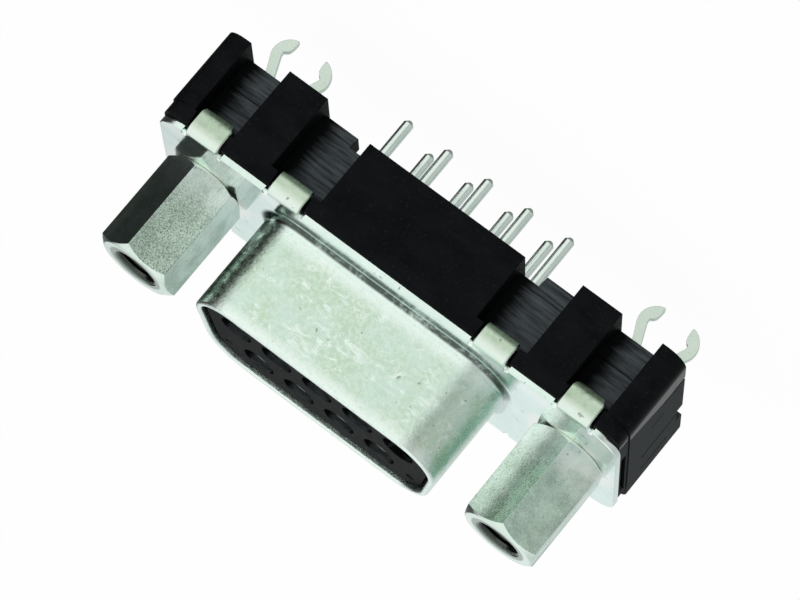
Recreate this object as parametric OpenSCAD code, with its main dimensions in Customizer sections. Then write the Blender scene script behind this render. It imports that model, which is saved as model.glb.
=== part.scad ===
// Nine-way D-subminiature socket connector, straight, for soldering into a board.
// +Z is the mating direction, z = 0 is the face that sits on the board, +X runs
// along the row of contacts and +Y is the side of the wider row.

/* [Contacts] */
// Contacts in the wider row
wide_count = 5; // [3:1:8]
// Distance between contacts in a row
pitch = 2.77; // [2.74:0.01:2.80]
// Distance between the two rows
row_gap = 2.84; // [2.80:0.01:2.90]
// Diameter of a solder tail
tail_d = 0.64; // [0.5:0.02:0.76]
// Length of the tails below the board face
tail_out = 3.1; // [2.4:0.02:4.6]
// Diameter of a socket barrel
barrel_d = 1.7; // [1.6:0.02:1.8]
// Diameter of the socket bore, for a 1.02 mm pin
socket_bore_d = 1.06; // [1.04:0.01:1.1]

/* [Shell] */
// Thickness of the sheet
sheet = 0.4; // [0.3:0.02:0.44]
// Extra width of the flange beyond the screw holes
flange_past_hole = 3.06; // [2.8:0.01:3.2]
// Height of the flange between its tabs
flange_h = 11.3; // [11.2:0.05:11.5]
// Height over the folded tabs
overall_h = 12.5; // [12.4:0.05:12.7]
// Corner radius of the flange
flange_corner = 1.6; // [1.2:0.1:2.2]
// Height of the nose above the flange
nose_out = 6.3; // [5.6:0.05:6.8]
// Outside depth of the nose across the rows
nose_d = 7.9; // [7.8:0.02:8.0]
// Outside corner radius of the nose
nose_r = 2.6; // [2.2:0.05:2.8]
// Slope of the nose's two ends
nose_slope = 10; // [8:0.5:12]

/* [Housing] */
// Height of the flange's front face above the board
flange_z = 6.1; // [5.9:0.05:6.6]
// Height of the recessed floors from the middle plane
floor_h = 4.5; // [4.3:0.05:4.7]
// Width of each narrow rib block
rib_w = 2.62; // [2.2:0.02:2.8]

/* [Screwlocks] */
// Distance from a screw hole to the middle of the outermost contact of the wider row
hole_past_contact = 6.955; // [6.9:0.005:7.1]
// Width across the flats of the hexagon
hex_flats = 4.5; // [4.4:0.05:5]
// Length of the hexagon
hex_len = 6.3; // [5:0.05:7]
// Radius of the threaded holes at the thread crests
thread_bore_r = 1.13; // [1.1:0.01:1.2]

/* [Board locks] */
// Thickness of the forked spring
lock_t = 0.4; // [0.3:0.02:0.5]
// Radius of the curved prong heads
prong_r = 1.12; // [1:0.01:1.25]

/* [Hidden] */
$fn = 48;
eps = 0.02;

// Places along X, shared by the shell, the insulator and the housing
last_x = (wide_count - 1) / 2 * pitch;
hole_x = last_x + hole_past_contact;
half_w = hole_x + flange_past_hole;
tab_out_x = hole_x + 0.06;
tab_in_x = last_x + 1.42;
tab_w = 2.12;
block_half = last_x - 0.29;
rib_in_x = tab_in_x + tab_w / 2 + 0.61;
rib_out_x = rib_in_x + rib_w;
end_in_x = hole_x + 1.42;
half_h = overall_h / 2;

// Places along Z
shell_back = flange_z - sheet;
part_z = shell_back - 0.85;
face_z = flange_z + nose_out - 0.3;
foot = 0.23;

// Rim of the front insulator behind the flange
rim_half = half_w - 0.12;
tooth_gap = 0.14;

// Centres of the nose's corners on its right side, and its small radii
nose_top = [last_x + 2.625 - nose_r, nose_d / 2 - nose_r];
nose_low = [nose_top.x - 2 * nose_top.y * tan(nose_slope), -nose_top.y];
root_r = 0.4;
rim_in = 0.1;

// Bends of the shell's tabs
bend_in = 0.2;
bend_out = bend_in + sheet;
tab_under = half_h - sheet;
tab_root_y = min(flange_h / 2, half_h - bend_out) - 0.5;

// Collar that traps each contact between the insulator and the housing
collar_d = 2.3;
collar_h = 0.8;
cavity_d = 2.05;

// Thicker stem of each contact inside the housing
stem_d = tail_d + 0.5;
stem_z = 0.43;
stem_hole_d = stem_d + 0.1;

// Screw hardware
clear_r = 1.525;
insert_r = 2.15;
insert_floor = 1.9;
shank_len = 3.9;
hex_chamfer = 0.3;

// Each forked spring sits a little outside its screw hole
lock_x = hole_x + 0.2;
lock_half = 1.7;

shell_colour = [0.80, 0.84, 0.80];
plastic_colour = [0.07, 0.075, 0.08];
tin_colour = [0.78, 0.82, 0.78];
nickel_colour = [0.66, 0.71, 0.66];
brass_colour = [0.78, 0.66, 0.38];

// Points of an arc about a centre
function arc(centre, r, from, to, steps) =
    [for (k = [0 : steps]) let (a = from + (to - from) * k / steps) centre + r * [cos(a), sin(a)]];

// Outline of the nose, shrunk all round by a distance
module d_outline(shrink) {
    r = nose_r - shrink;
    right = concat(arc(nose_top, r, 90, -nose_slope, 10), arc(nose_low, r, -nose_slope, -90, 8));
    polygon(concat(right, [for (k = [len(right) - 1 : -1 : 0]) [-right[k].x, right[k].y]]));
}

// Rectangle with round corners, centred
module rounded_rect(w, h, r) {
    square([w - 2 * r, h], center = true);
    square([w, h - 2 * r], center = true);
    for (x = [-1, 1], y = [-1, 1])
        translate([x * (w / 2 - r), y * (h / 2 - r)])
            circle(r);
}

module at_screws() {
    for (side = [-1, 1])
        translate([side * hole_x, 0, 0])
            children();
}

module at_locks() {
    for (side = [-1, 1])
        translate([side * lock_x, 0, 0])
            children();
}

// Box given by its low and high corners
module block(low, high) {
    translate(low)
        cube(high - low);
}

// The same shape on the +Y and -Y sides
module both_sides() {
    children();
    mirror([0, 1, 0])
        children();
}

// ---------------------------------------------------------------- shell

// Tab seen from its edge: a bend, a flat and a lip that turns in behind the plastic
module tab_profile(back_z) {
    centre_y = half_h - bend_out;
    module bend() {
        difference() {
            circle(bend_out);
            circle(bend_in);
        }
    }
    translate([centre_y, flange_z - bend_out])
        intersection() {
            bend();
            square(bend_out);
        }
    translate([tab_under, back_z + bend_out])
        square([sheet, flange_z - back_z - 2 * bend_out]);
    translate([centre_y, back_z + bend_out])
        intersection() {
            bend();
            translate([0, -bend_out])
                square(bend_out);
        }
    translate([centre_y - 0.35, back_z])
        square([0.35, sheet]);
    translate([tab_root_y, shell_back])
        square([centre_y - tab_root_y, sheet]);
}

module tab(back_z, corner_r) {
    intersection() {
        rotate([90, 0, 90])
            linear_extrude(tab_w, center = true)
                tab_profile(back_z);
        rotate([-90, 0, 0])
            linear_extrude(overall_h)
                translate([0, -(flange_z + back_z) / 2])
                    rounded_rect(tab_w, flange_z - back_z, corner_r);
    }
    block([-tab_w / 2, tab_root_y, shell_back], [tab_w / 2, half_h - bend_out, flange_z]);
}

module front_shell() {
    color(shell_colour) {
        translate([0, 0, shell_back])
            linear_extrude(sheet)
                difference() {
                    rounded_rect(2 * half_w, flange_h, flange_corner);
                    d_outline(sheet / 2);
                    at_screws()
                        circle(clear_r);
                }
        translate([0, 0, shell_back])
            difference() {
                union() {
                    linear_extrude(nose_out + sheet)
                        d_outline(rim_in);
                    linear_extrude(nose_out + sheet - rim_in)
                        d_outline(0);
                    // Drawn radius where the nose rises out of the flange
                    for (step = [1 : 3])
                        linear_extrude(sheet + root_r * step / 4)
                            d_outline(-root_r * pow(1 - step / 4, 2));
                }
                translate([0, 0, -eps])
                    linear_extrude(nose_out + sheet + 2 * eps)
                        d_outline(sheet);
            }
        both_sides()
            for (side = [-1, 1]) {
                translate([side * tab_out_x, 0, 0])
                    tab(part_z - 0.7, 0.55);
                translate([side * tab_in_x, 0, 0])
                    tab(part_z - sheet, 0.15);
            }
    }
}

// ---------------------------------------------------------------- plastic

// Middle of contact i, counted along the wider row and then along the narrower one
function contact_x(i) = i < wide_count
    ? (i - (wide_count - 1) / 2) * pitch
    : (i - wide_count - (wide_count - 2) / 2) * pitch;
function contact_y(i) = (i < wide_count ? 1 : -1) * row_gap / 2;

module at_contacts() {
    for (i = [0 : 2 * wide_count - 2])
        translate([contact_x(i), contact_y(i), 0])
            children();
}

// Tooth of the insulator's rim that fills the gap between two tabs
module rim_tooth(x0, x1) {
    translate([x0, 0, 0])
        rotate([90, 0, 90])
            linear_extrude(x1 - x0)
                polygon([
                    [floor_h, part_z], [half_h, part_z],
                    [half_h - 0.32, shell_back - 0.08],
                    [half_h - 0.44, shell_back], [floor_h, shell_back]
                ]);
}

// Tooth at one end of the rim, rounded at the corner of the flange
module end_tooth(corner_r) {
    intersection() {
        rim_tooth(tab_out_x + tab_w / 2 + tooth_gap, rim_half);
        translate([0, 0, part_z])
            linear_extrude(shell_back - part_z)
                rounded_rect(2 * rim_half, overall_h, corner_r);
    }
}

module front_insulator() {
    color(plastic_colour)
        difference() {
            union() {
                translate([0, 0, part_z])
                    linear_extrude(shell_back - part_z)
                        rounded_rect(2 * rim_half, 2 * (half_h - bend_out) - 0.1,
                                     flange_corner - 0.1);
                both_sides() {
                    rim_tooth(-tab_in_x + tab_w / 2 + tooth_gap, tab_in_x - tab_w / 2 - tooth_gap);
                    for (side = [0, 1])
                        mirror([side, 0, 0])
                            rim_tooth(tab_in_x + tab_w / 2 + tooth_gap,
                                      tab_out_x - tab_w / 2 - 0.05);
                }
                for (side = [0, 1])
                    mirror([side, 0, 0]) {
                        end_tooth(1.3);
                        mirror([0, 1, 0])
                            end_tooth(2.4);
                    }
                translate([0, 0, part_z])
                    linear_extrude(face_z - part_z)
                        d_outline(sheet + 0.22);
            }
            at_contacts()
                translate([0, 0, part_z - eps])
                    cylinder(d = cavity_d, h = face_z - part_z + 2 * eps);
            // Shallow dimples beside the ends of the narrower row
            for (side = [-1, 1])
                translate([side * (last_x + 0.72), -row_gap / 2 - 0.45, face_z - 0.12])
                    cylinder(d = 0.5, h = 0.12 + eps);
            at_screws()
                translate([0, 0, part_z - eps])
                    cylinder(r = clear_r + 0.1, h = shell_back - part_z + 2 * eps);
            // Gap along each end of the rim
            for (side = [0, 1])
                mirror([side, 0, 0])
                    block([rim_half - 0.4, -0.6 * half_h, part_z + 0.2],
                          [half_w, 0.36 * half_h, shell_back - 0.25]);
        }
}

// Cross-section of one end block, seen from the board
module end_block_outline() {
    w = half_w - 0.05 - end_in_x;
    intersection() {
        translate([end_in_x + w / 2 - half_w, 0])
            rounded_rect(w + 2 * half_w, overall_h, 1.2);
        translate([end_in_x, -half_h])
            square([w, overall_h]);
    }
}

// One end block with the grooves and the short slot of its outer face
module housing_end() {
    face_x = half_w - 0.05;
    groove_z = part_z - 1.2;
    difference() {
        linear_extrude(part_z)
            end_block_outline();
        block([face_x - 0.25, half_h - 3, -eps], [half_w, half_h - 2.68, groove_z / 2]);
        block([face_x - 0.22, -1.75, -eps], [half_w, -1.5, groove_z]);
        block([face_x - 0.12, -3.8, 1.3], [half_w, -3.6, groove_z]);
        block([face_x - 0.3, -2.9, -eps], [half_w, -1.2, 0.5]);
        block([face_x - 0.12, 1.6, groove_z / 2], [half_w, 1.78, groove_z - 0.8]);
    }
}

module rear_housing() {
    core_half = half_w - 0.35;
    ledge_h = 0.3;
    color(plastic_colour)
        difference() {
            union() {
                // Core between the recessed floors
                block([-core_half, -floor_h, foot], [core_half, floor_h, part_z]);
                both_sides()
                    block([-block_half, 0, 0.63], [block_half, half_h, part_z]);
                for (side = [0, 1])
                    mirror([side, 0, 0]) {
                        block([rib_in_x, -half_h, 0], [rib_out_x, half_h, part_z]);
                        housing_end();
                        // Ledge that the long tabs hook behind
                        block([rib_out_x, -half_h + bend_out + 0.05, part_z - ledge_h],
                              [end_in_x, half_h - bend_out - 0.05, part_z]);
                    }
            }
            // Clear back of the middle block and the notches beside it
            block([-block_half, -floor_h - eps, -eps], [block_half, floor_h + eps, 0.63]);
            block([-last_x - 1.2, -2.65, -eps], [last_x + 1.2, 2.65, 0.63]);
            for (x = [-1, 1], y = [-1, 1])
                translate([x * (block_half + 0.6), y * 2.6, 0])
                    cube([1.2, 4, 2], center = true);
            // Bevels along the back edges of the floors
            both_sides()
                for (side = [0, 1])
                    mirror([side, 0, 0])
                        translate([0, floor_h, foot])
                            floor_bevel();
            // Thin cross grooves in the outer floors
            both_sides()
                for (side = [0, 1])
                    mirror([side, 0, 0])
                        block([rib_out_x, floor_h - 0.14, 2.1], [end_in_x, floor_h + eps, 2.2]);
            at_contacts() {
                translate([0, 0, -eps])
                    cylinder(d = stem_hole_d, h = part_z + 2 * eps, $fn = 32);
                translate([0, 0, part_z - collar_h])
                    cylinder(d = collar_d + 0.06, h = collar_h + eps);
            }
            at_screws() {
                translate([0, 0, insert_floor])
                    cylinder(r = insert_r + 0.03, h = part_z);
            }
            at_locks()
                block([-lock_half, -lock_t / 2, -eps], [lock_half, lock_t / 2, insert_floor]);
        }
}

// Wedge that bevels the back edge of the two recessed floors of one quarter
module floor_bevel() {
    for (x = [[block_half + 1.2, rib_in_x], [rib_out_x, end_in_x]])
        translate([x[0], 0, 0])
            rotate([90, 0, 90])
                linear_extrude(x[1] - x[0])
                    polygon([[-0.3, -eps], [eps, 0.6], [eps, -eps]]);
}

// ---------------------------------------------------------------- contacts

// Turned socket contact: split barrel, collar and straight solder tail
module contact(i) {
    mouth_z = face_z - 0.35;
    collar_z = part_z - collar_h;
    bore_len = 6;
    slot_len = 4.2;
    tip = 0.2;
    color(tin_colour)
        translate([contact_x(i), contact_y(i), 0])
            difference() {
                rotate_extrude()
                    polygon([
                        [0, -tail_out], [tail_d / 2 - tip, -tail_out], [tail_d / 2, -tail_out + tip],
                        [tail_d / 2, stem_z], [stem_d / 2, stem_z],
                        [stem_d / 2, collar_z], [collar_d / 2, collar_z],
                        [collar_d / 2, part_z], [barrel_d / 2, part_z],
                        [barrel_d / 2, mouth_z - 0.12], [barrel_d / 2 - 0.12, mouth_z], [0, mouth_z]
                    ]);
                translate([0, 0, mouth_z - bore_len])
                    cylinder(d = socket_bore_d, h = bore_len + eps, $fn = 32);
                translate([0, 0, mouth_z - 0.18])
                    cylinder(d1 = socket_bore_d, d2 = socket_bore_d + 0.4, h = 0.2, $fn = 32);
                // Slot that lets the barrel spring onto the pin
                block([-barrel_d, -0.11, mouth_z - slot_len], [barrel_d, 0.11, mouth_z + eps]);
            }
}

// ---------------------------------------------------------------- screw hardware

// Hexagonal post with a threaded hole in front and a threaded shank behind
module screwlock(side, turn) {
    hex_r = hex_flats / sqrt(3);
    chamfer_in = 0.42;
    color(nickel_colour)
        translate([side * hole_x, 0, 0])
            difference() {
                union() {
                    intersection() {
                        translate([0, 0, flange_z])
                            rotate([0, 0, turn])
                                cylinder(r = hex_r, h = hex_len, $fn = 6);
                        rotate_extrude()
                            polygon([
                                [0, flange_z], [hex_r - chamfer_in, flange_z],
                                [hex_r, flange_z + hex_chamfer],
                                [hex_r, flange_z + hex_len - hex_chamfer],
                                [hex_r - chamfer_in, flange_z + hex_len], [0, flange_z + hex_len]
                            ]);
                    }
                    translate([0, 0, flange_z - shank_len])
                        cylinder(r = thread_bore_r - 0.02, h = shank_len + 1);
                }
                translate([0, 0, flange_z + 0.8])
                    cylinder(r = thread_bore_r, h = hex_len);
                translate([0, 0, flange_z + hex_len - 0.32])
                    cylinder(r1 = thread_bore_r, r2 = thread_bore_r + 0.32 + eps, h = 0.32 + eps);
            }
}

// Threaded bush in the housing that the screwlock's shank pulls against
module threaded_insert(side) {
    color(brass_colour)
        translate([side * hole_x, 0, insert_floor])
            difference() {
                rotate_extrude()
                    polygon([
                        [thread_bore_r, 0], [insert_r - 0.2, 0], [insert_r, 0.2],
                        [insert_r, part_z - insert_floor], [thread_bore_r, part_z - insert_floor]
                    ]);
                // Shallow key flats
                for (s = [-1, 1])
                    translate([s * (insert_r + 1.85), 0, 0.8])
                        cube([4, 1.2, 0.6], center = true);
            }
}

// Half of the fork's outline on its right side: yoke, stem and curved head
function fork_half() =
    concat(
        [[lock_half, insert_floor], [lock_half, 0.5], [0.85, 0.5], [1.44, -1.13]],
        arc([0.77, -2.32], prong_r, 31, -80, 10),
        [[0.92, -3.3], [0.94, -2.95], [1, -2.68], [1.12, -2.52], [1.29, -2.42],
         [1.28, -2.22], [0.85, -1.17], [0.22, 0.5]]
    );

// Flat forked spring that snaps into the board
module boardlock(side) {
    right = fork_half();
    last = len(right) - 1;
    color(tin_colour)
        translate([side * lock_x, 0, 0])
            rotate([90, 0, 0])
                linear_extrude(lock_t, center = true)
                    polygon(concat(right, [for (k = [last : -1 : 0]) [-right[k].x, right[k].y]]));
}

// ---------------------------------------------------------------- nodes

front_shell();
front_insulator();
rear_housing();
for (i = [1 : 2 * wide_count - 1])
    contact(i - 1);
screwlock(-1, 40);  // screwlock_left
screwlock(1, 26);  // screwlock_right
threaded_insert(-1);  // threaded_insert_left
threaded_insert(1);  // threaded_insert_right
boardlock(-1);  // boardlock_left
boardlock(1);  // boardlock_right
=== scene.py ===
import math

import bmesh
import bpy
from mathutils import Matrix, Vector

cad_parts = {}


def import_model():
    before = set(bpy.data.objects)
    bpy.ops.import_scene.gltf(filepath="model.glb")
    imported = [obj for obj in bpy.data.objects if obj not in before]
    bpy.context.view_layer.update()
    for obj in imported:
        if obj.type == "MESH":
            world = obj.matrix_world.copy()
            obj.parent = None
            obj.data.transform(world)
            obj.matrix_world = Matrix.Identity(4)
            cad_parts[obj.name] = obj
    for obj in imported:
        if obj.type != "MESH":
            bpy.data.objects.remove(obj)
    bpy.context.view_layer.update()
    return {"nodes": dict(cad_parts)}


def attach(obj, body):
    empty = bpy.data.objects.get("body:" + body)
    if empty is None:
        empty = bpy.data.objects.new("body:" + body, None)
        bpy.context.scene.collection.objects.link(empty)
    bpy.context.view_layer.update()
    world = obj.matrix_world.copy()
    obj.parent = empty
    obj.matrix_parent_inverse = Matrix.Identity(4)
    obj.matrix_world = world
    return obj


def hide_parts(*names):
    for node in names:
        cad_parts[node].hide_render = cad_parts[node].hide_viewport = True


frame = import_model()
scene = bpy.context.scene
MM = 0.001

# Sizes in millimetres. The nose: centres of its corner arcs, their radius and the ends' slope
TOP_X, TOP_Y, LOW_X, NOSE_R, SLOPE = 5.565, 1.35, 5.089, 2.6, 10.0
# Heights: back and front of the flange, and the nose's rim
BACK_Z, PLATE_Z, RIM_Z = 5.7, 6.1, 12.4
HALF_W, HALF_H, CORNER, HOLE_X, HOLE_R = 15.555, 5.65, 1.6, 12.495, 1.525
# Tabs: centre along X, lower end and corner radius, then what all of them share
TABS = ((12.555, 4.15, 0.55), (6.96, 4.45, 0.15))
TAB_HALF, TAB_Y, SHEET = 1.06, 6.25, 0.4
# +X faces of the blocks that a recessed floor starts from, where a shadow is painted on the floor
FLOOR_WALLS = (-13.92, -8.63, 5.25, 11.25)
# In metres: the table under the board locks, and the lamp
FLOOR_Z, FLOOR_HALF = -0.0046, 3.0
KEY_PLACE, KEY_AIM, KEY_SIZE, KEY_POWER = (-0.12, 0.34, 0.004), (0, 0, 0.004), (0.09, 0.09), 0.5


# ------------------------------------------------------------------ material helpers

class Nodes:
    """A small wrapper that adds nodes to one material and links them."""

    def __init__(self, name):
        self.mat = bpy.data.materials.new(name)
        self.mat.use_nodes = True
        self.tree = self.mat.node_tree
        self.bsdf = self.tree.nodes["Principled BSDF"]
        coord = self.add("ShaderNodeTexCoord")
        scale = self.add("ShaderNodeVectorMath", operation="SCALE")
        scale.inputs["Scale"].default_value = 1000.0
        self.link(coord.outputs["Object"], scale.inputs[0])
        self.mm = scale.outputs[0]
        parts = self.add("ShaderNodeSeparateXYZ")
        self.link(self.mm, parts.inputs[0])
        self.x, self.y, self.z = parts.outputs

    def add(self, kind, **values):
        node = self.tree.nodes.new(kind)
        for key, value in values.items():
            setattr(node, key, value)
        return node

    def link(self, a, b):
        self.tree.links.new(a, b)

    def feed(self, value, socket):
        if isinstance(value, bpy.types.NodeSocket):
            self.link(value, socket)
        else:
            socket.default_value = value

    def math(self, operation, a, b=0.0, clamp=False):
        node = self.add("ShaderNodeMath", operation=operation, use_clamp=clamp)
        for value, socket in zip((a, b), node.inputs):
            self.feed(value, socket)
        return node.outputs[0]

    def stretch(self, sx, sy, sz, offset=0.0):
        node = self.add("ShaderNodeVectorMath", operation="MULTIPLY")
        self.link(self.mm, node.inputs[0])
        node.inputs[1].default_value = (sx, sy, sz)
        if not offset:
            return node.outputs[0]
        move = self.add("ShaderNodeVectorMath", operation="ADD")
        self.link(node.outputs[0], move.inputs[0])
        move.inputs[1].default_value = (offset, offset * 0.7, offset * 1.3)
        return move.outputs[0]

    def noise(self, scale, detail=3.0, rough=0.55, vector=None, distortion=0.0):
        node = self.add("ShaderNodeTexNoise")
        self.link(vector or self.mm, node.inputs["Vector"])
        node.inputs["Scale"].default_value = scale
        node.inputs["Detail"].default_value = detail
        node.inputs["Roughness"].default_value = rough
        node.inputs["Distortion"].default_value = distortion
        return node.outputs["Fac"]

    def span(self, value, low, high, to_low=0.0, to_high=1.0):
        """Value mapped from low..high, clamped; low may be the larger."""
        node = self.add("ShaderNodeMapRange")
        self.feed(value, node.inputs["Value"])
        node.inputs["From Min"].default_value = low
        node.inputs["From Max"].default_value = high
        node.inputs["To Min"].default_value = to_low
        node.inputs["To Max"].default_value = to_high
        return node.outputs["Result"]

    def mix(self, factor, a, b):
        node = self.add("ShaderNodeMix", data_type="RGBA")
        self.feed(factor, node.inputs[0])
        self.feed(a, node.inputs[6])
        self.feed(b, node.inputs[7])
        return node.outputs[2]

    def blend(self, factor, a, b):
        node = self.add("ShaderNodeMix", data_type="FLOAT")
        self.feed(factor, node.inputs[0])
        self.feed(a, node.inputs[2])
        self.feed(b, node.inputs[3])
        return node.outputs[0]

    def times(self, *values):
        """Product of several masks."""
        result = values[0]
        for value in values[1:]:
            result = self.math("MULTIPLY", result, value)
        return result

    def weigh(self, a, share_a, b, share_b):
        """Sum of two values, each times its share."""
        return self.math("ADD", self.times(a, share_a), self.times(b, share_b))

    def soft_edges(self, radius_mm):
        """Normal that rounds the node's sharp edges."""
        node = self.add("ShaderNodeBevel")
        node.samples = 6
        node.inputs["Radius"].default_value = radius_mm * MM
        return node.outputs["Normal"]

    def facing(self):
        """Components of the surface's own normal."""
        geometry = self.add("ShaderNodeNewGeometry")
        parts = self.add("ShaderNodeSeparateXYZ")
        self.link(geometry.outputs["True Normal"], parts.inputs[0])
        return parts.outputs

    def from_hole(self):
        """Distance in mm from the axis of the nearer screw hole."""
        local = self.math("SUBTRACT", self.math("ABSOLUTE", self.x), HOLE_X)
        square = self.math("ADD", self.times(local, local), self.times(self.y, self.y))
        return self.math("SQRT", square)

    def bump(self, height, distance, strength=1.0, under=None):
        node = self.add("ShaderNodeBump")
        node.inputs["Strength"].default_value = strength
        node.inputs["Distance"].default_value = distance
        self.link(height, node.inputs["Height"])
        if under:
            self.link(under, node.inputs["Normal"])
        return node.outputs["Normal"]

    def finish(self, **sockets):
        for name, value in sockets.items():
            self.feed(value, self.bsdf.inputs[name.replace("_", " ")])
        return self.mat


def rgb(r, g, b):
    return (r, g, b, 1.0)


# ------------------------------------------------------------------ materials

def sheet_plate(name):
    """Bright tin on the drawn shell: smooth flange, cloudier scuffed nose, specks and dents, with
    painted highlights at the nose's rim and root, on a flange strip and on the tabs' bends, painted
    shade towards the tabs' lower ends and a painted shadow round the nose's root.
    """
    n = Nodes(name)
    nose = n.span(n.z, 6.35, 6.7)
    tab = n.span(n.math("ABSOLUTE", n.y), 5.66, 5.72)
    cloud = n.noise(0.55, 4.0, 0.6, n.stretch(1, 1, 0.8))
    fine = n.noise(3.6, 4.0, 0.7)
    scuff = n.noise(0.9, 5.0, 0.72, n.stretch(0.8, 1, 1.2, 5.0), 1.2)
    broad = n.noise(0.32, 2.0, 0.5, n.stretch(1, 1, 1, 11.0))
    specks = n.span(n.noise(2.6, 2.0, 0.5, n.stretch(1, 1, 0.8, 7.0)), 0.69, 0.74)
    tone = n.weigh(cloud, 0.55, fine, 0.45)
    plate = n.mix(n.span(tone, 0.35, 0.65), rgb(0.74, 0.88, 0.84), rgb(0.86, 0.98, 0.95))
    drawn = n.mix(n.span(cloud, 0.38, 0.62), rgb(0.57, 0.73, 0.58), rgb(0.66, 0.83, 0.76))
    drawn = n.mix(n.span(fine, 0.42, 0.72), drawn, rgb(0.80, 0.92, 0.84))
    drawn = n.mix(n.span(scuff, 0.55, 0.66), drawn, rgb(0.90, 1.0, 0.97))
    # Painted highlight: the nose paler close to its rim and its root
    rim_root_highlight = n.math("MAXIMUM", n.span(n.z, 11.5, 12.1), n.span(n.z, 7.5, 6.8))
    rim_root_highlight = n.times(rim_root_highlight, n.span(fine, 0.30, 0.5, 0.5, 1.0))
    drawn = n.mix(rim_root_highlight, drawn, rgb(0.90, 1.0, 0.97))
    strap = n.mix(n.span(tone, 0.38, 0.62), rgb(0.42, 0.53, 0.41), rgb(0.62, 0.75, 0.62))
    # Painted highlight on the strap's bend, where it turns over the flange
    strap = n.mix(n.times(n.span(n.z, 5.3, 5.85), 0.85), strap, rgb(0.92, 1.0, 0.96))
    # Painted shade towards the strap's lower end, where it curls down onto the plastic
    strap = n.mix(n.span(n.math("ADD", n.z, n.times(fine, 0.8)), 5.25, 4.75, 0.0, 0.75),
                  strap, rgb(0.13, 0.17, 0.13))
    colour = n.mix(nose, n.mix(tab, plate, strap), drawn)
    # Painted highlight: an almost white band on the flange between the plastic and the nose's root,
    # on the +Y side only
    strip = n.times(n.span(n.y, 4.1, 4.7), n.span(n.y, 5.60, 5.50), n.span(n.z, 6.2, 6.12))
    colour = n.mix(n.times(strip, 0.9), colour, rgb(0.94, 1.0, 0.99))
    radius = n.from_hole()
    foot = n.times(n.span(radius, 3.2, 2.6), n.span(n.z, 6.3, 6.2))
    colour = n.mix(foot, colour, rgb(0.96, 0.97, 0.95))
    # Painted shadow: a dark line round the nose's root on the flange, fainter where y is below 2.8
    root = n.times(n.span(n.y, 0.5, 2.8, 0.2, 1.0), n.span(n.z, 6.11, 6.15),
                   n.span(n.z, 6.46, 6.34), n.span(tone, 0.78, 0.5))
    colour = n.mix(n.times(root, 0.95), colour, rgb(0.06, 0.075, 0.07))
    ragged = n.times(n.math("SUBTRACT", fine, 0.5), 2.4)
    corner = n.span(n.math("ADD", n.x, ragged), -6.6, -7.3)
    end = n.times(corner, nose, n.span(scuff, 0.60, 0.48), n.span(n.z, 12.2, 11.7))
    colour = n.mix(n.times(end, 0.85), colour, rgb(0.10, 0.14, 0.12))
    colour = n.mix(n.times(specks, 0.6), colour, rgb(0.16, 0.19, 0.17))
    rough = n.span(tone, 0.35, 0.65, 0.10, 0.17)
    rough = n.blend(n.math("MAXIMUM", nose, tab), rough, n.span(tone, 0.35, 0.65, 0.20, 0.32))
    height = n.math("ADD", n.times(fine, 0.35), broad)
    depth = n.blend(nose, 0.25, 1.0)
    normal = n.bump(n.times(height, depth), 0.00010, 0.6)
    return n.finish(Base_Color=colour, Metallic=1.0, Roughness=rough, Normal=normal)


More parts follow.
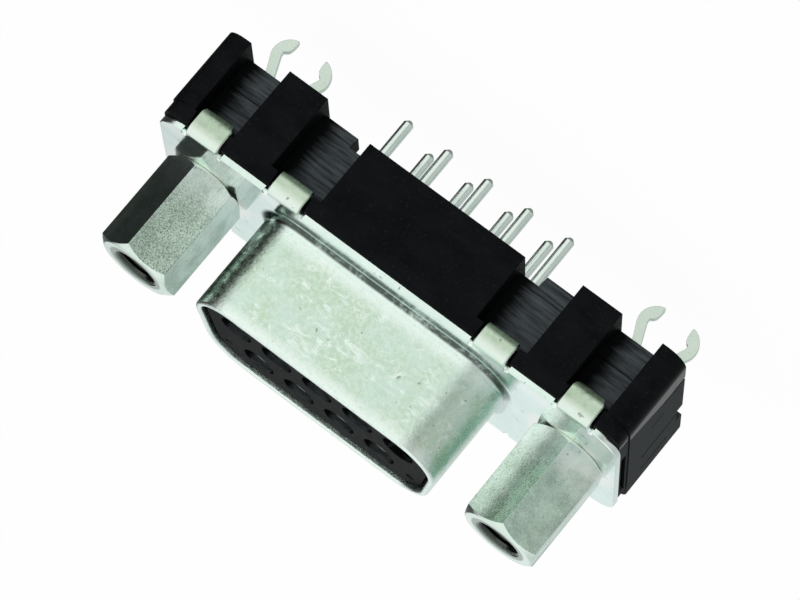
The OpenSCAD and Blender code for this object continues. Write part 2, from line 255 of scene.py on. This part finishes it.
def granular_nickel(name):
    """Matt plating on the hexagons: granular on the broad left face, dull blotches, painted shade
    in the bores and countersinks, and painted highlights on the end faces and close to the flange.
    """
    n = Nodes(name)
    radius = n.from_hole()
    _, ny, nz = n.facing()
    front = n.span(n.math("ABSOLUTE", nz), 0.5, 0.8)
    right = n.span(n.x, -1.0, 1.0)
    coarse = n.times(n.span(ny, 0.75, 0.85), n.span(right, 0.0, 1.0, 1.0, 0.3))
    above = n.span(n.z, 6.3, 6.5)
    shaded_sink = n.times(n.span(radius, 1.80, 1.70), above)
    shaded_bore = n.times(n.span(radius, 1.40, 1.30), above)
    cloud = n.noise(0.7, 4.0, 0.65)
    grain = n.noise(8.0, 3.0, 0.75)
    salt = n.noise(12.0, 2.0, 0.6, n.stretch(1, 1, 1, 2.0))
    undulate = n.noise(0.55, 2.0, 0.5, n.stretch(1, 1, 0.7, 5.0))
    tone = n.weigh(cloud, 0.65, grain, 0.35)
    colour = n.mix(n.span(tone, 0.38, 0.62), rgb(0.44, 0.58, 0.50), rgb(0.74, 0.93, 0.83))
    dark = n.times(n.span(salt, 0.50, 0.64), n.span(coarse, 0.0, 1.0, 0.08, 0.75))
    pale = n.times(n.span(salt, 0.44, 0.34), n.span(coarse, 0.0, 1.0, 0.1, 0.85))
    colour = n.mix(dark, colour, rgb(0.20, 0.23, 0.19))
    colour = n.mix(pale, colour, rgb(0.86, 1.0, 0.84))
    # Painted highlight: the hexagons paler close to the flange
    flange_side_highlight = n.times(n.span(n.z, 8.6, 6.8), n.span(cloud, 0.38, 0.55, 0.4, 1.0))
    colour = n.mix(flange_side_highlight, colour, rgb(0.92, 1.0, 0.97))
    # Painted highlight: the hexagons' faces turned along Z made paler
    colour = n.mix(n.times(front, 0.7), colour, rgb(0.90, 1.0, 0.94))
    pits = n.span(n.noise(3.4, 2.0, 0.5, n.stretch(1, 1, 1, 3.0)), 0.70, 0.76)
    colour = n.mix(n.times(pits, 0.55), colour, rgb(0.14, 0.16, 0.14))
    # Painted shade: the countersinks darkened and the bores made almost black
    colour = n.mix(n.times(shaded_sink, 0.75), colour, rgb(0.13, 0.15, 0.13))
    colour = n.mix(n.times(shaded_bore, 0.8), colour, rgb(0.02, 0.022, 0.02))
    wave = n.add("ShaderNodeTexWave", wave_type="BANDS", bands_direction="Z")
    n.link(n.mm, wave.inputs["Vector"])
    wave.inputs["Scale"].default_value = 0.5
    thread = n.times(wave.outputs["Fac"], shaded_bore)
    rough = n.span(tone, 0.35, 0.65, 0.10, 0.18)
    hollow = n.times(radius, n.span(n.math("ABSOLUTE", nz), 0.1, 0.3, 1.0, 0.0),
                     n.span(right, 0.0, 1.0, 0.6, 1.4))
    normal = n.bump(hollow, 0.00030, 1.0, n.soft_edges(0.06))
    normal = n.bump(undulate, 0.00014, 0.5, normal)
    normal = n.bump(n.times(grain, n.span(coarse, 0.0, 1.0, 0.2, 1.0)), 0.00004, 0.7,
                    normal)
    normal = n.bump(thread, 0.0002, 0.8, normal)
    return n.finish(Base_Color=colour, Metallic=1.0, Roughness=rough, Normal=normal)


def plated(name, light, dark, rough, shade_z=None):
    """Dipped or rolled plating: cloudy tone, fine grain in the bump and a few specks, and with
    shade_z painted shade above that height.
    """
    n = Nodes(name)
    cloud = n.noise(0.6, 4.0, 0.6)
    fine = n.noise(6.0, 4.0, 0.7)
    pits = n.span(n.noise(2.8, 2.0, 0.5, n.stretch(1, 1, 1, 7.0)), 0.70, 0.76)
    tone = n.weigh(cloud, 0.6, fine, 0.4)
    colour = n.mix(n.span(tone, 0.35, 0.65), rgb(*dark), rgb(*light))
    colour = n.mix(n.times(pits, 0.4), colour, rgb(*[c * 0.4 for c in dark]))
    if shade_z:
        # Painted shade: the contacts turn almost black above shade_z, within the housing
        inside_shade = n.span(n.z, shade_z, shade_z + 1.5, 0.0, 0.8)
        colour = n.mix(inside_shade, colour, rgb(0.03, 0.03, 0.03))
    roughness = n.span(tone, 0.35, 0.65, rough - 0.04, rough + 0.06)
    normal = n.bump(fine, 0.00002, 0.6, n.soft_edges(0.04))
    return n.finish(Base_Color=colour, Metallic=1.0, Roughness=roughness, Normal=normal)


def wall_shadow(n, wall, ragged):
    """Painted shadow: a darker strip of a recessed floor beside the wall at its -X end."""
    along = n.math("ADD", n.math("SUBTRACT", n.x, wall), ragged)
    return n.times(n.span(along, -0.4, -0.2), n.span(along, 1.5, 0.5))


def black_plastic(name):
    """Glass-filled moulding: deep black tops, greyer drawn floors and a part-polished end, with
    painted shadow on the floors beside the blocks' walls and painted shade on the side walls within
    the recesses.
    """
    n = Nodes(name)
    depth = n.math("ABSOLUTE", n.y)
    nx, ny, _ = n.facing()
    low = n.times(n.span(depth, 5.4, 5.1), n.span(n.math("ABSOLUTE", ny), 0.5, 0.8))
    side = n.span(n.math("ABSOLUTE", nx), 0.6, 0.8)
    end = n.times(side, n.span(n.math("ABSOLUTE", n.x), 15.0, 15.15))
    edge = n.math("ADD", 3.3, n.times(n.math("SUBTRACT", n.z, 0.6), 0.27))
    polished = n.times(end, n.span(n.math("SUBTRACT", n.y, edge), -0.06, 0.06))
    matt_end = n.math("SUBTRACT", end, polished, clamp=True)
    inner = n.math("SUBTRACT", side, end, clamp=True)
    speck = n.noise(5.0, 3.0, 0.7)
    smear = n.noise(0.8, 3.0, 0.6, n.stretch(0.6, 1, 1, 4.0))
    streak = n.noise(1.0, 4.0, 0.65, n.stretch(0.45, 5.0, 7.0))
    fibre = n.noise(1.6, 3.0, 0.7, n.stretch(0.3, 3.0, 4.5, 9.0))
    top = n.mix(n.span(smear, 0.35, 0.65), rgb(0.0026, 0.0031, 0.0038), rgb(0.0052, 0.0060, 0.0074))
    top = n.mix(n.span(speck, 0.58, 0.72), top, rgb(0.011, 0.0125, 0.0145))
    floor_tone = n.weigh(streak, 0.6, fibre, 0.4)
    drawn = n.mix(n.span(floor_tone, 0.36, 0.64), rgb(0.016, 0.020, 0.023),
                  rgb(0.088, 0.100, 0.110))
    # Painted shadow on the recessed floors beside the blocks' +X walls, with a ragged edge
    into = n.math("SUBTRACT", n.times(streak, 1.4), 0.7)
    shade = 0.0
    for wall in FLOOR_WALLS:
        shade = n.math("MAXIMUM", shade, wall_shadow(n, wall, into))
    drawn = n.mix(shade, drawn, rgb(0.003, 0.0035, 0.004))
    sanded = n.mix(n.span(speck, 0.3, 0.7), rgb(0.009, 0.011, 0.012), rgb(0.026, 0.030, 0.033))
    colour = n.mix(low, top, drawn)
    colour = n.mix(matt_end, colour, sanded)
    # Painted shade: the side walls within the recesses darkened almost to black
    colour = n.mix(n.times(inner, 0.8), colour, rgb(0.0035, 0.004, 0.005))
    rough = n.blend(low, n.span(speck, 0.3, 0.7, 0.5, 0.62), 0.7)
    rough = n.blend(polished, rough, 0.22)
    height = n.blend(low, n.times(speck, 0.35), floor_tone)
    normal = n.bump(height, 0.00004, 0.7, n.soft_edges(0.05))
    n.bsdf.inputs["Specular IOR Level"].default_value = 0.05
    return n.finish(Base_Color=colour, Metallic=0.0, Roughness=rough, Normal=normal)


tin_shell = sheet_plate("tin_shell")
hexes = granular_nickel("nickel_hex")
tails = plated("tin_contact", (0.93, 1.0, 0.98), (0.74, 0.87, 0.82), 0.2, shade_z=5.0)
springs = plated("tin_spring", (0.80, 0.90, 0.84), (0.66, 0.77, 0.70), 0.34)
brass = plated("brass_insert", (0.80, 0.64, 0.32), (0.60, 0.45, 0.20), 0.3)
plastic = black_plastic("black_plastic")


def dress(node, material):
    mesh = frame["nodes"][node].data
    mesh.materials.clear()
    mesh.materials.append(material)


for name in frame["nodes"]:
    if name in ("front_insulator", "rear_housing"):
        dress(name, plastic)
    elif name.startswith("screwlock"):
        dress(name, hexes)
    elif name.startswith("threaded"):
        dress(name, brass)
    elif name.startswith("boardlock"):
        dress(name, springs)
    else:
        dress(name, tails)


# ------------------------------------------------------------------ smooth shell

def turn(cx, cy, r, start, end, steps):
    """Points of an arc in degrees."""
    angles = [math.radians(start + (end - start) * k / steps) for k in range(steps + 1)]
    return [(cx + r * math.cos(a), cy + r * math.sin(a)) for a in angles]


def nose_ring(out):
    """Outline of the nose, moved outwards, counter-clockwise."""
    r = NOSE_R + out
    return (turn(LOW_X, -TOP_Y, r, -90, -SLOPE, 16) + turn(TOP_X, TOP_Y, r, -SLOPE, 90, 20)
            + turn(-TOP_X, TOP_Y, r, 90, 180 + SLOPE, 20)
            + turn(-LOW_X, -TOP_Y, r, 180 + SLOPE, 270, 16))


def inset(path, d):
    """A counter-clockwise path moved inwards, with mitred corners."""
    result = []
    for k, point in enumerate(path):
        p = Vector(point)
        a = (p - Vector(path[k - 1])).normalized()
        b = (Vector(path[(k + 1) % len(path)]) - p).normalized()
        na, nb = Vector((-a.y, a.x)), Vector((-b.y, b.x))
        result.append(tuple(p + (na + nb) * (d / (1 + na.dot(nb)))))
    return result


def flange_path():
    """Edge of the flange, with small relief notches beside each tab."""
    quarter = []
    for x, _, _ in reversed(TABS):
        for side in (-1, 1):
            edge = x + side * TAB_HALF
            far = edge + side * 0.28
            low, high = sorted((edge, far))
            quarter += [(low, HALF_H), (low + 0.06, HALF_H - 0.34), (high - 0.06, HALF_H - 0.34),
                        (high, HALF_H)]
    quarter += turn(HALF_W - CORNER, HALF_H - CORNER, CORNER, 90, 0, 12)
    right = quarter + [(x, -y) for x, y in reversed(quarter)]
    whole = right + [(-x, y) for x, y in reversed(right)]
    return list(reversed(whole))


def rings(bm, paths):
    """Closed rings of vertices joined by quads."""
    rows = [[bm.verts.new((x * MM, y * MM, z * MM)) for x, y in path] for path, z in paths]
    for a, b in zip(rows, rows[1:]):
        for k in range(len(a)):
            m = (k + 1) % len(a)
            bm.faces.new((a[k], a[m], b[m], b[k]))
    return rows


def fill(bm, loops, up):
    """A flat face with holes between closed loops of vertices."""
    edges = []
    for loop in loops:
        for k in range(len(loop)):
            pair = (loop[k], loop[(k + 1) % len(loop)])
            edges.append(bm.edges.get(pair) or bm.edges.new(pair))
    bmesh.ops.triangle_fill(bm, use_beauty=True, edges=edges, normal=(0, 0, up))


def tab(bm, centre, back_z, corner, side):
    """Strap that folds over the plastic: plate, bend, flat and a turned-in lip."""
    inner, outer = 0.2, 0.2 + SHEET
    bend_y = TAB_Y - outer
    skin = 0.002  # keeps the strap's start off the flange's own faces
    start = HALF_H - 0.5
    stations = [((start, PLATE_Z + skin), (start, BACK_Z - skin))]
    for k in range(9):
        a = math.radians(90 - 90 * k / 8)
        c, s = math.cos(a), math.sin(a)
        cz = PLATE_Z - outer
        stations.append(((bend_y + outer * c, cz + outer * s),
                         (bend_y + inner * c, cz + inner * s)))
    cz = back_z + outer
    steps = 6 if corner > 0.3 else 3
    for k in range(1, steps):
        z = PLATE_Z - outer + (cz - PLATE_Z + outer) * k / steps
        stations.append(((TAB_Y, z), (TAB_Y - SHEET, z)))
    for k in range(10):
        a = math.radians(-90 * k / 9)
        c, s = math.cos(a), math.sin(a)
        stations.append(((bend_y + outer * c, cz + outer * s),
                         (bend_y + inner * c, cz + inner * s)))
    stations.append(((bend_y - 0.35, back_z), (bend_y - 0.35, back_z + SHEET)))
    bevel = 0.07
    rows = []
    for (oy, oz), (iy, iz) in stations:
        away = max(back_z + corner - oz, 0.0)
        half = TAB_HALF - (corner - math.sqrt(max(corner ** 2 - away ** 2, 0.0)))
        o, i = Vector((oy, oz)), Vector((iy, iz))
        step = (i - o) * (bevel / SHEET)
        o2, i2 = o + step, i - step
        section = [(-half + bevel, o), (half - bevel, o), (half, o2), (half, i2),
                   (half - bevel, i), (-half + bevel, i), (-half, i2), (-half, o2)]
        rows.append([bm.verts.new(((centre + x) * MM, side * p.x * MM, p.y * MM))
                     for x, p in section])
    for lower, upper in zip(rows, rows[1:]):
        for k in range(8):
            m = (k + 1) % 8
            bm.faces.new((lower[k], lower[m], upper[m], upper[k]))
    bm.faces.new(rows[0])
    bm.faces.new(list(reversed(rows[-1])))


def front_shell():
    """Smooth drawn shell: rolled rim, nose, drawn root, flange with its holes, and the tabs."""
    bm = bmesh.new()
    profile = [(-SHEET, BACK_Z), (-SHEET, RIM_Z - 0.2), (-SHEET, RIM_Z - 0.12)]
    profile += turn(-0.28, RIM_Z - 0.12, 0.12, 180, 90, 5)[1:]
    profile += turn(-0.16, RIM_Z - 0.16, 0.16, 90, 0, 6)
    profile += [(0.0, RIM_Z - 0.24), (0.0, PLATE_Z + 0.58)]
    profile += turn(0.5, PLATE_Z + 0.5, 0.5, 180, 270, 8)
    profile += [(0.54, PLATE_Z)]
    wall = rings(bm, [(nose_ring(out), z) for out, z in profile])
    edge = flange_path()
    rim = rings(bm, [(inset(edge, 0.05), PLATE_Z), (edge, PLATE_Z - 0.05),
                     (edge, BACK_Z + 0.04), (inset(edge, 0.04), BACK_Z)])
    holes = []
    for x in (-HOLE_X, HOLE_X):
        circle = turn(x, 0, HOLE_R, 0, 337.5, 15)
        holes.append(rings(bm, [(circle, PLATE_Z), (circle, BACK_Z)]))
    fill(bm, [wall[-1], rim[0]] + [h[0] for h in holes], 1)
    fill(bm, [wall[0], rim[-1]] + [h[-1] for h in holes], -1)
    for x, back_z, corner in TABS:
        for sx in (-1, 1):
            for sy in (-1, 1):
                tab(bm, sx * x, back_z, corner, sy)
    bmesh.ops.recalc_face_normals(bm, faces=bm.faces)
    mesh = bpy.data.meshes.new("shell")
    bm.to_mesh(mesh)
    bm.free()
    mesh.shade_smooth()
    mesh.set_sharp_from_angle(angle=math.radians(34))
    obj = bpy.data.objects.new("shell", mesh)
    scene.collection.objects.link(obj)
    mesh.materials.append(tin_shell)
    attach(obj, "root")
    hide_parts("front_shell")


front_shell()


# ------------------------------------------------------------------ stage, light and camera

def area(name, place, aim, size, power):
    """Rectangular lamp that reflections don't show."""
    light = bpy.data.lights.new(name, "AREA")
    light.shape = "RECTANGLE"
    light.size, light.size_y = size
    light.energy = power
    lamp = bpy.data.objects.new(name, light)
    lamp.location = place
    lamp.rotation_euler = (Vector(aim) - Vector(place)).to_track_quat("-Z", "Y").to_euler()
    lamp.visible_glossy = False
    scene.collection.objects.link(lamp)


def floor(z, half):
    """Pale table: white to the camera, with the shadow kept, and open to reflections."""
    mesh = bpy.data.meshes.new("floor")
    mesh.from_pydata([(-half, -half, z), (half, -half, z), (half, half, z), (-half, half, z)],
                     [], [(0, 1, 2, 3)])
    obj = bpy.data.objects.new("floor", mesh)
    scene.collection.objects.link(obj)
    mat = bpy.data.materials.new("floor")
    mat.use_nodes = True
    tree = mat.node_tree
    tree.nodes.clear()
    out = tree.nodes.new("ShaderNodeOutputMaterial")
    diffuse = tree.nodes.new("ShaderNodeBsdfDiffuse")
    diffuse.inputs["Color"].default_value = rgb(0.9, 0.9, 0.9)
    glow = tree.nodes.new("ShaderNodeEmission")
    clear = tree.nodes.new("ShaderNodeBsdfTransparent")
    path = tree.nodes.new("ShaderNodeLightPath")
    share = tree.nodes.new("ShaderNodeMath")
    share.operation = "MULTIPLY"
    share.inputs[1].default_value = 0.97
    mix = tree.nodes.new("ShaderNodeMixShader")
    open_mix = tree.nodes.new("ShaderNodeMixShader")
    tree.links.new(path.outputs["Is Camera Ray"], share.inputs[0])
    tree.links.new(share.outputs[0], mix.inputs[0])
    tree.links.new(diffuse.outputs[0], mix.inputs[1])
    tree.links.new(glow.outputs[0], mix.inputs[2])
    tree.links.new(path.outputs["Is Glossy Ray"], open_mix.inputs[0])
    tree.links.new(mix.outputs[0], open_mix.inputs[1])
    tree.links.new(clear.outputs[0], open_mix.inputs[2])
    tree.links.new(open_mix.outputs[0], out.inputs["Surface"])
    mesh.materials.append(mat)


# Brightness of the studio round the part, by the direction's angle about Z
STUDIO = ((-180, 0.03), (-165, 0.03), (-150, 0.04), (-135, 0.06), (-120, 0.14), (-111, 0.45),
          (-104, 0.88), (-85, 0.75), (-57, 0.6), (-20, 0.5), (0, 0.52), (36, 0.62), (50, 0.54),
          (66, 0.48), (74, 0.62), (84, 0.86), (95, 0.96), (110, 0.98), (125, 1.0), (140, 0.92),
          (149, 0.55), (156, 0.2), (164, 0.05), (180, 0.03))


def world():
    """Soft studio with a brighter and a darker side, white to the camera."""
    room = bpy.data.worlds.new("room")
    room.use_nodes = True
    tree = room.node_tree
    tree.nodes.clear()

    def add(kind, **values):
        node = tree.nodes.new(kind)
        for key, value in values.items():
            setattr(node, key, value)
        return node

    out = add("ShaderNodeOutputWorld")
    coord = add("ShaderNodeTexCoord")
    parts = add("ShaderNodeSeparateXYZ")
    angle = add("ShaderNodeMath", operation="ARCTAN2")
    place = add("ShaderNodeMapRange")
    place.inputs["From Min"].default_value = -math.pi
    place.inputs["From Max"].default_value = math.pi
    ramp = add("ShaderNodeValToRGB")
    ramp.color_ramp.interpolation = "LINEAR"
    elements = ramp.color_ramp.elements
    while len(elements) > 1:
        elements.remove(elements[-1])
    for k, (degrees, value) in enumerate(STUDIO):
        position = (degrees + 180) / 360
        stop = elements[0] if k == 0 else elements.new(position)
        stop.position = position
        warm = (0.98, 1.0, 0.95) if degrees > 0 else (0.95, 1.0, 0.99)
        stop.color = rgb(*[value * c for c in warm])
    tones = []
    for low, high, colour in ((0.5, 0.85, (0.88, 0.92, 0.88)), (-0.3, -0.8, (0.22, 0.25, 0.22))):
        pole = add("ShaderNodeMapRange")
        pole.interpolation_type = "SMOOTHSTEP"
        pole.inputs["From Min"].default_value = low
        pole.inputs["From Max"].default_value = high
        tone = add("ShaderNodeMix", data_type="RGBA")
        tone.inputs[7].default_value = rgb(*colour)
        tree.links.new(parts.outputs["Z"], pole.inputs["Value"])
        tree.links.new(pole.outputs["Result"], tone.inputs[0])
        tones.append(tone)
    dim = add("ShaderNodeBackground")
    white = add("ShaderNodeBackground")
    white.inputs["Color"].default_value = rgb(1, 1, 1)
    path = add("ShaderNodeLightPath")
    mix = add("ShaderNodeMixShader")
    link = tree.links.new
    link(coord.outputs["Generated"], parts.inputs[0])
    link(parts.outputs["Y"], angle.inputs[0])
    link(parts.outputs["X"], angle.inputs[1])
    link(angle.outputs[0], place.inputs["Value"])
    link(place.outputs["Result"], ramp.inputs["Fac"])
    link(ramp.outputs["Color"], tones[0].inputs[6])
    link(tones[0].outputs[2], tones[1].inputs[6])
    link(tones[1].outputs[2], dim.inputs["Color"])
    link(path.outputs["Is Camera Ray"], mix.inputs[0])
    link(dim.outputs[0], mix.inputs[1])
    link(white.outputs[0], mix.inputs[2])
    link(mix.outputs[0], out.inputs["Surface"])
    scene.world = room


def camera():
    """The photograph's viewing angle."""
    data = bpy.data.cameras.new("camera")
    data.sensor_width = 36.0
    data.lens = 218.733
    data.clip_start = 0.01
    data.clip_end = 50.0
    obj = bpy.data.objects.new("camera", data)
    right = Vector((0.78461639, -0.02321609, -0.61954672))
    up = Vector((-0.57936778, 0.32827816, -0.74603379))
    back = Vector((0.22070364, 0.94429575, 0.24412176))
    place = (0.05819773, 0.24885852, 0.06931566)
    axes = Matrix((right, up, back)).transposed().to_4x4()
    obj.matrix_world = Matrix.Translation(place) @ axes
    scene.collection.objects.link(obj)
    scene.camera = obj


scene.view_settings.view_transform = "Standard"
floor(FLOOR_Z, FLOOR_HALF)
world()
camera()
area("key", KEY_PLACE, KEY_AIM, KEY_SIZE, KEY_POWER)
